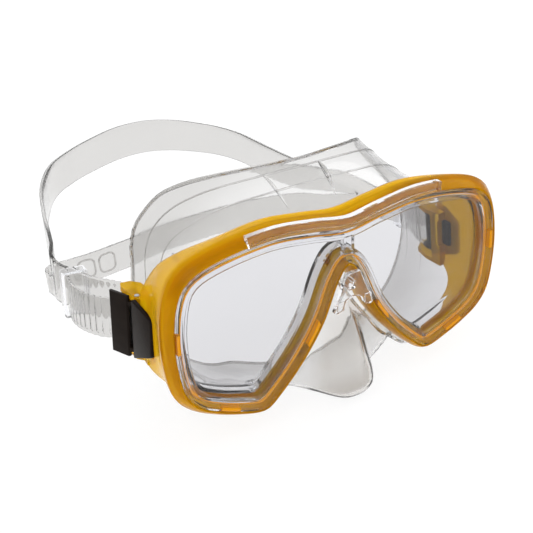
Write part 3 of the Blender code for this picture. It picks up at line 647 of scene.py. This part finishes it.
def make_frame():
    moulding = add("frame_moulding", loft("frame_moulding", [whole(r) for r in frame_rings()],
                                          rings_closed=True), "amber_plastic")
    for word, side in SIDES:
        where = swivel_matrix(side)
        steps = [
            (prism(word + "_lug", mirrored(LUG_PLAN, side), -RAIL_OUTER, RAIL_OUTER, where), "UNION"),
            (prism(word + "_slot", mirrored(SLOT_PLAN, side), -RAIL_INNER, RAIL_INNER, where), "DIFFERENCE"),
            (cover_mesh(word + "_recess", side, RUNNING_GAP, 8.0, where), "DIFFERENCE"),
            (tab_mesh(word + "_tab_window", side, RUNNING_GAP, 12.0, where), "DIFFERENCE"),
            (cylinder(word + "_pin_hole", SWIVEL_PIN_R + RUNNING_GAP, -20, 20, where), "DIFFERENCE"),
        ]
        for mesh, operation in steps:
            boolean(moulding, mesh, operation)

    outer, rear = TRIM_OUTER + RUNNING_GAP, TRIM_REAR + RUNNING_GAP
    space = [(0.0, -9), (outer, -9), (outer, rear), (0.0, rear)]
    boolean(moulding, strip_mesh("trim_space", TRIM_HALF_LENGTH + 0.4, lambda _: space), "DIFFERENCE")
    settle(moulding, 32)
    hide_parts("frame")
    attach(moulding, "mask")


def make_lens():
    edge = 0.35
    steps = [(LENS_FRONT, PANE_REACH - edge), (LENS_FRONT + edge, PANE_REACH),
             (LENS_REAR - edge, PANE_REACH), (LENS_REAR, PANE_REACH - edge)]
    rings = [whole(window_half(y, reach)) for y, reach in steps]
    pane = add("lens_pane", loft("lens_pane", rings, capped=True), "lens_glass")
    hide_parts("lens")
    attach(pane, "mask")


def make_ring():
    """Clear ring that holds the lens: two beads and a groove in front, and a bevelled inner edge."""
    section = [(-0.3, 1.4), (-0.3, -1.25), (-0.65, -1.6), (-1.3, -1.6), (-1.55, -1.1), (-2.2, -1.1),
               (-2.45, -1.6), (-3.3, -1.6), (-3.7, -1.1), (-4.6, -0.9), (-5.2, -0.2), (-5.4, 0.3),
               (-5.4, 1.4), (-3.4, 1.4), (-3.4, 0.5), (-2.4, 0.5), (-2.4, 1.4)]
    rings = [whole(window_half(y, reach)) for reach, y in section]
    ring = add("retainer_ring", loft("retainer_ring", rings, rings_closed=True, smooth_deg=25),
               "clear_ring")
    half = STRUT_WIDTH / 2
    plan = [(-half, -1.3), (-half + 0.5, -1.7), (half - 0.5, -1.7), (half, -1.3), (half, 1.3), (-half, 1.3)]
    boolean(ring, prism("strut", plan, STRUT_BOTTOM, STRUT_TOP, MASK), "UNION")
    settle(ring, 25)
    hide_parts("lens_retainer")
    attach(ring, "mask")

    # Amber blocks at the ring's slots and an amber line round it, inside the clear ring: painted reflection,
    # the orange of the frame's amber lip seen refracted through the ring.
    blocks = []
    for first, last in RING_WINDOWS:
        for flip in (1, -1):
            corners = [window_half(y, reach)[first:last + 1] * (flip, 1, 1)
                       for reach, y in ((-0.7, -1.45), (-1.9, -1.2), (-1.9, 1.0), (-0.7, 1.0))]
            rings = [[line[k] for line in corners] for k in range(last - first + 1)]
            blocks.append(loft("block", rings, capped=True))
    lip_line_rings = [whole(window_half(y, reach)) for reach, y in ((-2.6, 0.7), (-3.2, 0.7), (-3.2, 1.5), (-2.6, 1.5))]
    blocks.append(loft("painted_lip_line", lip_line_rings, rings_closed=True))
    painted_marks = join("ring_painted_refraction", blocks, "painted_amber_refraction")
    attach(painted_marks, "mask")


def make_trim():
    """Clear brow strip: fine lines along it, and short teeth across it near both ends."""
    def section(share):
        from_middle = abs(share - 0.5) * 2
        teeth = 0.62 < from_middle < 0.93
        tooth = 0.28 * (math.floor(share * TRIM_PIECES) % 2) if teeth else 0.0
        front = TRIM_FRONT + 0.25
        return [(TRIM_INNER, TRIM_REAR), (TRIM_INNER, front), (0.9, front - 0.25), (1.5, front - 0.25),
                (1.75, front + 0.2), (2.05, front - 0.1), (2.3, front + 0.15 - tooth),
                (3.5, front + 0.15 - tooth), (3.75, front + 0.1), (4.1, front + 0.2),
                (TRIM_OUTER, front + 0.6), (TRIM_OUTER, TRIM_REAR)]

    strip = add("brow_strip", strip_mesh("brow_strip", TRIM_HALF_LENGTH, section), "clear_trim")
    strip.data.set_sharp_from_angle(angle=math.radians(22))
    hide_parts("brow_trim")
    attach(strip, "mask")


def make_saddle():
    """Clear saddle over the two legs of the frame beside the nose, with a knob at each foot."""
    front, rear = SADDLE_FRONT, SADDLE_REAR
    plate = [(0, SADDLE_ARCH)] + SADDLE_HALF + mirrored(SADDLE_HALF[::-1], -1)
    rings = [[(x, y, z) for x, z in plate] for y in (front, rear)]
    saddle = add("nose_saddle", loft("nose_saddle", rings, capped=True), "clear_plastic")
    plug_plan = [(-1.6, -2.9), (1.6, -2.9), (1.6, 0.5), (-1.6, 0.5)]
    boolean(saddle, prism("plug", plug_plan, 6.4, 9.6, MASK), "UNION")
    for flip in (1, -1):
        catch = [(flip * 4.9, front - 0.5), (flip * 7.9, front - 0.5), (flip * 7.9, rear), (flip * 4.9, rear)]
        boolean(saddle, prism("catch", catch, -0.6, 3.4, MASK), "UNION")
    bevel(saddle, 0.4, 3)
    settle(saddle, 30)
    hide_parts("nose_clip")
    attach(saddle, "mask")


# ---- skirt ----

def skirt_halves():
    """The skirt's half rings: the flange in the frame, then the wall from the frame to the face."""
    flange = [window_half(6.0, -0.5), window_half(6.0, -4.5), window_half(6.4, -4.9)]
    wall = window_half(10.6, -4.9)
    middle = half_from_points(MIDDLE_BROW, MIDDLE_CHEEK, NOSE_LIP)
    face = half_from_points(FACE_BROW, FACE_CHEEK, NOSE_LIP)
    nose_starts = [window_half(11.4, 1.0), window_half(10.6, 4.7)]
    turn = RING_COUNTS[0] + RING_COUNTS[1]
    halves = [wall]
    for k, t in enumerate(SKIRT_STAGES):
        ring = wall * (1 - t) * (1 - 2 * t) + middle * 4 * t * (1 - t) + face * t * (2 * t - 1)
        if k < len(nose_starts):
            ring[turn + 1:] = nose_starts[k][turn + 1:]
        else:
            route = (NOSE_RINGS + [NOSE_LIP])[k - len(nose_starts)]
            start = 2 * ring[turn] - route[0]
            end = np.array(route[-2]) * (-1, 1, 1)
            line = catmull_rom(np.vstack([start, ring[turn], route, end]), 8)
            line[-1, 0] = 0
            ring[turn:] = resample(line, RING_COUNTS[2])
        halves.append(ring)
    return flange, halves


def leaned(ring, stage):
    """The soft wall's top leans towards the wearer's right, most at its free edge."""
    height = np.clip(ring[:, 2] / SKIRT_LEAN_FROM, 0, 1)
    moved = ring.copy()
    moved[:, 0] -= SKIRT_LEAN * stage * height ** 2 * (3 - 2 * height)
    return moved


def outward(points):
    """Directions away from the middle of the mask, across Y."""
    away = np.asarray(points, float) - np.array(MASK_MIDDLE)
    away[:, 1] = 0
    return away / np.linalg.norm(away, axis=1)[:, None]


def make_skirt():
    flange, halves = skirt_halves()
    stages = (0,) + SKIRT_STAGES
    wall = [leaned(whole(half), stage) for half, stage in zip(halves, stages)]
    rings = [whole(half) for half in flange] + blend_rings(wall, SKIRT_RING_STEPS)
    skirt = add("face_skirt", loft("face_skirt", rings), "clear_silicone")
    solidify(skirt, SKIRT_WALL)
    settle(skirt, 50)
    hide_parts("skirt")
    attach(skirt, "mask")

    brow_end = RING_COUNTS[0] + 12
    trims = [bead("lip", wall[-1], LIP_BEAD_R, closed=True)]
    for ring in SKIRT_RIDGES:
        half = halves[ring - 2][:brow_end]
        line = leaned(np.vstack([half[:0:-1] * (-1, 1, 1), half]), stages[ring - 2])
        trims.append(bead("ridge", line + outward(line) * (SKIRT_WALL / 2), RIDGE_BEAD_R, taper=True))
    for word, side in SIDES:
        for column, first, last in SKIRT_FINS[word]:
            stations = [leaned(halves[k - 2][column:column + 1] * (side, 1, 1), stages[k - 2])[0]
                        for k in range(first, last + 1)]
            line = resample(smooth_through(stations, 6), 16)
            away = outward(line)
            rise = np.sin(np.linspace(0, math.pi, len(line)))
            rings = []
            for p, a, h in zip(line, away, rise):
                foot, top = p + a * 0.4, p + a * (0.85 + FIN_HEIGHT * h)
                width = np.cross(a, (0, 1, 0)) * 0.55 * (0.25 + 0.75 * h)
                rings.append([foot - width, foot + width, top + width * 0.5, top - width * 0.5])
            trims.append(loft("fin", rings, capped=True))
    ridges = join("skirt_ridges", trims, "clear_silicone")
    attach(ridges, "mask")


# ---- strap ----

def band_rows(stations, across, steps=6):
    """Rows of points across a band, from stations of x, y, z, lean in degrees and width."""
    rows = np.array(stations, float)
    rows = np.vstack([2 * rows[0] - rows[1], rows, 2 * rows[-1] - rows[-2]])
    places = catmull_rom(rows[:, :3], steps)
    shape = catmull_rom(rows[:, 3:], steps)
    made = []
    for place, (lean, width) in zip(places, shape):
        up = np.array([math.sin(math.radians(lean)), 0, math.cos(math.radians(lean))])
        made.append([place + up * width * k for k in np.linspace(-0.5, 0.5, across)])
    return made


def strap_end_path(word):
    """In from the strap, round the roller and back out to the free end of the tail."""
    inner, tail = STRAP_ENDS[word]["inner"], STRAP_ENDS[word]["tail"]
    bend = ROLLER_R + RUNNING_GAP + STRAP_THICK / 2
    turn = [(ROLLER_AT[0] - bend * math.cos(a), ROLLER_AT[1] - bend * math.sin(a), 0)
            for a in np.linspace(0, math.pi, 9)]
    inner = [np.array((x, y, 0.0)) for x, y in inner]
    tail = [np.array((x, y, 0.0)) for x, y in tail]
    first = catmull_rom([2 * inner[0] - inner[1]] + inner + turn[:2], 6)
    last = catmull_rom(turn[-2:] + tail + [2 * tail[-1] - tail[-2]], 6)
    return np.vstack([first, turn[1:-1], last]), len(first), len(first) + 7


def make_strap_end(word, side):
    """Strap from the split to the roller and back, ribbed on its outer face, with a bead on its edges."""
    path, inner_end, tail_start = strap_end_path(word)
    lengths = np.linalg.norm(np.diff(path, axis=0), axis=1)
    run = np.concatenate([[0], np.cumsum(lengths)])
    step = RIB_PITCH / 8
    at = np.arange(0, run[-1], step)
    at = np.append(at, run[-1])
    line = np.stack([np.interp(at, run, path[:, k]) for k in range(3)], axis=1)
    along = np.gradient(line, axis=0)
    along /= np.linalg.norm(along, axis=1)[:, None]
    out_way = np.cross(along, (0, 0, 1))
    tail_from, inner_to = run[tail_start], run[inner_end - 1]
    rings = []
    for p, o, s in zip(line, out_way, at):
        ribbed = np.clip((s - tail_from) / 4, 0, 1) + np.clip((inner_to - s) / 4, 0, 1) * (s > 12)
        groove = RIB_HEIGHT * min(ribbed, 1) * (0.5 - 0.5 * math.cos(2 * math.pi * s / RIB_PITCH))
        outer = STRAP_THICK / 2 - groove
        ring = []
        for up, out in strap_outline(STRAP_WIDTH / 2 - 0.35 * groove, outer, STRAP_THICK / 2):
            ring.append(p + np.array([0, 0, up]) - o * out)
        rings.append([(q[0] * side, q[1], q[2]) for q in ring])
    where = swivel_matrix(side)
    strap = add(word + "_strap", loft(word + "_strap", rings, capped=True, where=where, smooth_deg=60),
                "clear_silicone")
    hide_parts(word + "_strap_end")
    return strap


def strap_outline(half_width, outer, inner):
    """Section of the strap, (up, out): a flat band with a slightly thicker round bead on both edges."""
    bead_r = STRAP_THICK / 2
    web_outer, web_inner = outer * 0.9, inner * 0.8
    turn = np.linspace(math.pi / 2, -math.pi / 2, 7)
    top = [(half_width - bead_r + bead_r * math.cos(a), bead_r * math.sin(a)) for a in turn]
    low = [(-up, -out) for up, out in top]
    reach = half_width - 2.2 * bead_r
    return ([(reach, web_outer)] + top + [(reach, -web_inner), (-reach, -web_inner)] + low
            + [(-reach, web_outer)])


def joined_rows(first, rows, last):
    """A band between two shoulders, with one more row close to each split."""
    def near(end, row):
        return [a * 0.85 + b * 0.15 for a, b in zip(end, row)]

    return [first, near(first, rows[0])] + rows + [near(last, rows[-1]), last]


def make_strap_back():
    """One moulding behind the head: a shoulder at each end, split into an upper and a lower band."""
    right, left = (band_rows(SHOULDERS[word], 9, 4) for word in ("right", "left"))
    upper = joined_rows(right[-1][4:], band_rows(UPPER_BAND, 5), left[-1][4:])
    lower = joined_rows(right[-1][:5], band_rows(LOWER_BAND, 5), left[-1][:5])
    work = bmesh.new()
    for rows in (right, left, upper, lower):
        grid = [[work.verts.new(MASK @ Vector(p)) for p in row] for row in rows]
        for low, high in zip(grid, grid[1:]):
            for i in range(len(low) - 1):
                work.faces.new((low[i], low[i + 1], high[i + 1], high[i]))
    bmesh.ops.remove_doubles(work, verts=work.verts, dist=0.001 * MM)
    strap = add("strap_rear", finish_mesh("strap_rear", work, 60), "clear_silicone")
    solidify(strap, STRAP_THICK)
    bevel(strap, 0.35, 2, 60)
    strap.modifiers["edges"].miter_outer = "MITER_ARC"
    settle(strap, 60)
    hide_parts("strap_back")
    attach(strap, "mask")


def make_strap_bosses():
    """Two raised outlines with round corners on the lower band, next to the right shoulder."""
    rows = band_rows(LOWER_BAND, 2, 12)
    bosses = []
    for first, last in BOSS_SPANS:
        stations = np.array(rows[first:last + 1])
        middle = stations.mean(1)
        run = np.concatenate([[0], np.cumsum(np.linalg.norm(np.diff(middle, axis=0), axis=1))])
        along = np.gradient(middle, axis=0)
        out = np.cross(along / np.linalg.norm(along, axis=1)[:, None], (0, 0, 1))
        half, radius = run[-1] / 2, BOSS_CORNER_R
        line = []
        for a, b, start in ((1, 1, 0), (-1, 1, 1), (-1, -1, 2), (1, -1, 3)):
            for turn in np.linspace(0, math.pi / 2, 6):
                angle = turn + start * math.pi / 2
                at = half + a * (half - radius) + radius * math.cos(angle)
                up = b * (BOSS_HALF_HEIGHT - radius) + radius * math.sin(angle)
                base = np.array([np.interp(at, run, middle[:, k]) for k in range(3)])
                away = np.array([np.interp(at, run, out[:, k]) for k in range(3)])
                line.append(base + away * BOSS_SIDE * STRAP_THICK / 2 + np.array([0, 0, up]))
        bosses.append(bead("boss", line, BOSS_BEAD_R, closed=True))
    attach(join("strap_bosses", bosses, "clear_silicone"), "mask")


def make_keeper(word, side):
    """Clear loop that holds the tail against the strap."""
    (x, y), width = KEEPERS[word]
    rings = []
    inner = STRAP_WIDTH / 2 + RUNNING_GAP + 0.1
    for reach, step in ((KEEPER_WALL, -1), (KEEPER_WALL, 1), (0, 1), (0, -1)):
        half_x, half_z = width / 2 + reach, inner + reach
        corner = []
        for a, b, start in ((1, 1, 0), (-1, 1, 1), (-1, -1, 2), (1, -1, 3)):
            radius = 1.4 if reach else 0.6
            for turn in np.linspace(0, math.pi / 2, 4):
                angle = turn + start * math.pi / 2
                corner.append((side * (x + a * (half_x - radius) + radius * math.cos(angle)),
                               y + step * KEEPER_LENGTH / 2,
                               b * (half_z - radius) + radius * math.sin(angle)))
        rings.append(corner)
    where = swivel_matrix(side)
    loop = add(word + "_keeper", loft(word + "_keeper", rings, rings_closed=True, where=where),
               "clear_ring")
    bevel(loop, 0.3, 2, 60)
    settle(loop)
    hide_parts(word + "_strap_keeper")
    return loop


# ---- buckles ----

def make_buckle(word, side):
    """One side's cover, buckle, pins, roller, strap end and keeper."""
    where = swivel_matrix(side)
    cover = add(word + "_cover", cover_mesh(word + "_cover", side, 0, COVER_THICK, where), "black_plastic")
    boolean(cover, tab_mesh(word + "_snap_tab", side, 0, 4.2, where), "UNION")
    bevel(cover, 0.55, 3)
    settle(cover, 40)
    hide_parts(word + "_anchor_cover")
    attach(cover, "mask")

    body = add(word + "_buckle", prism(word + "_buckle", mirrored(PLATE_PLAN, side), -PLATE_HALF, PLATE_HALF,
                                       where), "black_plastic")
    ear_plan = mirrored(EAR_PLAN, side)
    boolean(body, prism("upper_ear", ear_plan, CHEEK_INNER, CHEEK_OUTER, where), "UNION")
    boolean(body, prism("lower_ear", ear_plan, -CHEEK_OUTER, -CHEEK_INNER, where), "UNION")
    boolean(body, cylinder("bore", SWIVEL_PIN_R + RUNNING_GAP, -12.5, 12.5, where), "DIFFERENCE")
    bevel(body, 0.4, 3)
    settle(body, 40)
    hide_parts(word + "_buckle_body")
    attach(body, word + "_buckle")

    for node, slot in ((word + "_swivel_pin", "steel"), (word + "_roller_pin", "steel"),
                       (word + "_strap_roller", "black_plastic")):
        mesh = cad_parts[node].data
        mesh.materials.clear()
        mesh.materials.append(LOOKS[slot])

    for piece in (make_strap_end(word, side), make_keeper(word, side)):
        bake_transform(piece)


# ---- camera, floor and lights ----

def make_camera():
    place = ORIGIN + Vector(CAMERA_FROM_LENS) * MM
    data = bpy.data.cameras.new("camera")
    data.lens, data.sensor_width = CAMERA_LENS, CAMERA_SENSOR
    data.clip_start = 0.01
    camera = bpy.data.objects.new("camera", data)
    bpy.context.scene.collection.objects.link(camera)
    turn = Matrix((CAMERA_RIGHT, CAMERA_UP, CAMERA_BACK)).transposed().to_4x4()
    camera.matrix_world = Matrix.Translation(place) @ turn
    bpy.context.scene.camera = camera


def make_floor():
    half = 4.0
    mesh = bpy.data.meshes.new("floor")
    mesh.from_pydata([(-half, -half, 0), (half, -half, 0), (half, half, 0), (-half, half, 0)], [],
                     [(0, 1, 2, 3)])
    made, _, shader = new_material("floor", Base_Color=(0.15, 0.15, 0.15), Roughness=0.9)
    shader.inputs["Emission Color"].default_value = (1, 1, 1, 1)
    shader.inputs["Emission Strength"].default_value = 0.86
    floor = bpy.data.objects.new("floor", mesh)
    floor.location.z = -0.0004
    mesh.materials.append(made)
    bpy.context.scene.collection.objects.link(floor)


def make_light(name, place, size, power):
    data = bpy.data.lights.new(name, "AREA")
    data.shape = "DISK"
    data.size = size
    data.energy = power
    lamp = bpy.data.objects.new(name, data)
    lamp.location = place
    aim = Vector((0, 0, 0.04)) - Vector(place)
    lamp.rotation_euler = aim.to_track_quat("-Z", "Y").to_euler()
    bpy.context.scene.collection.objects.link(lamp)


def make_sky():
    world = bpy.data.worlds.new("studio")
    world.use_nodes = True
    tree = world.node_tree
    place = tree.nodes.new("ShaderNodeTexCoord")
    split = tree.nodes.new("ShaderNodeSeparateXYZ")
    tree.links.new(place.outputs["Generated"], split.inputs["Vector"])
    height = tree.nodes.new("ShaderNodeMapRange")
    height.inputs["From Min"].default_value = -0.1
    height.inputs["From Max"].default_value = 0.9
    tree.links.new(split.outputs["Z"], height.inputs["Value"])
    shade = ramp(tree, height.outputs["Result"], (0.75, 0.76, 0.78), (1.0, 1.0, 1.0))
    back = tree.nodes["Background"]
    back.inputs["Strength"].default_value = 0.95
    tree.links.new(shade.outputs["Color"], back.inputs["Color"])
    bpy.context.scene.world = world


def main():
    make_camera()
    make_floor()
    make_sky()
    make_light("key", (-0.7, -0.5, 1.1), 0.7, 2.5)
    make_light("fill", (0.9, -0.3, 0.8), 0.8, 3.0)
    make_light("rim", (0.1, 1.0, 0.7), 0.8, 1.2)
    view = bpy.context.scene
    view.view_settings.view_transform = "Standard"
    view.cycles.transparent_max_bounces = 24
    view.cycles.transmission_bounces = 20
    view.cycles.max_bounces = 24

    make_frame()
    make_lens()
    make_ring()
    make_trim()
    make_saddle()
    make_skirt()
    make_strap_back()
    make_strap_bosses()
    for word, side in SIDES:
        make_buckle(word, side)

    bpy.context.view_layer.update()


main()
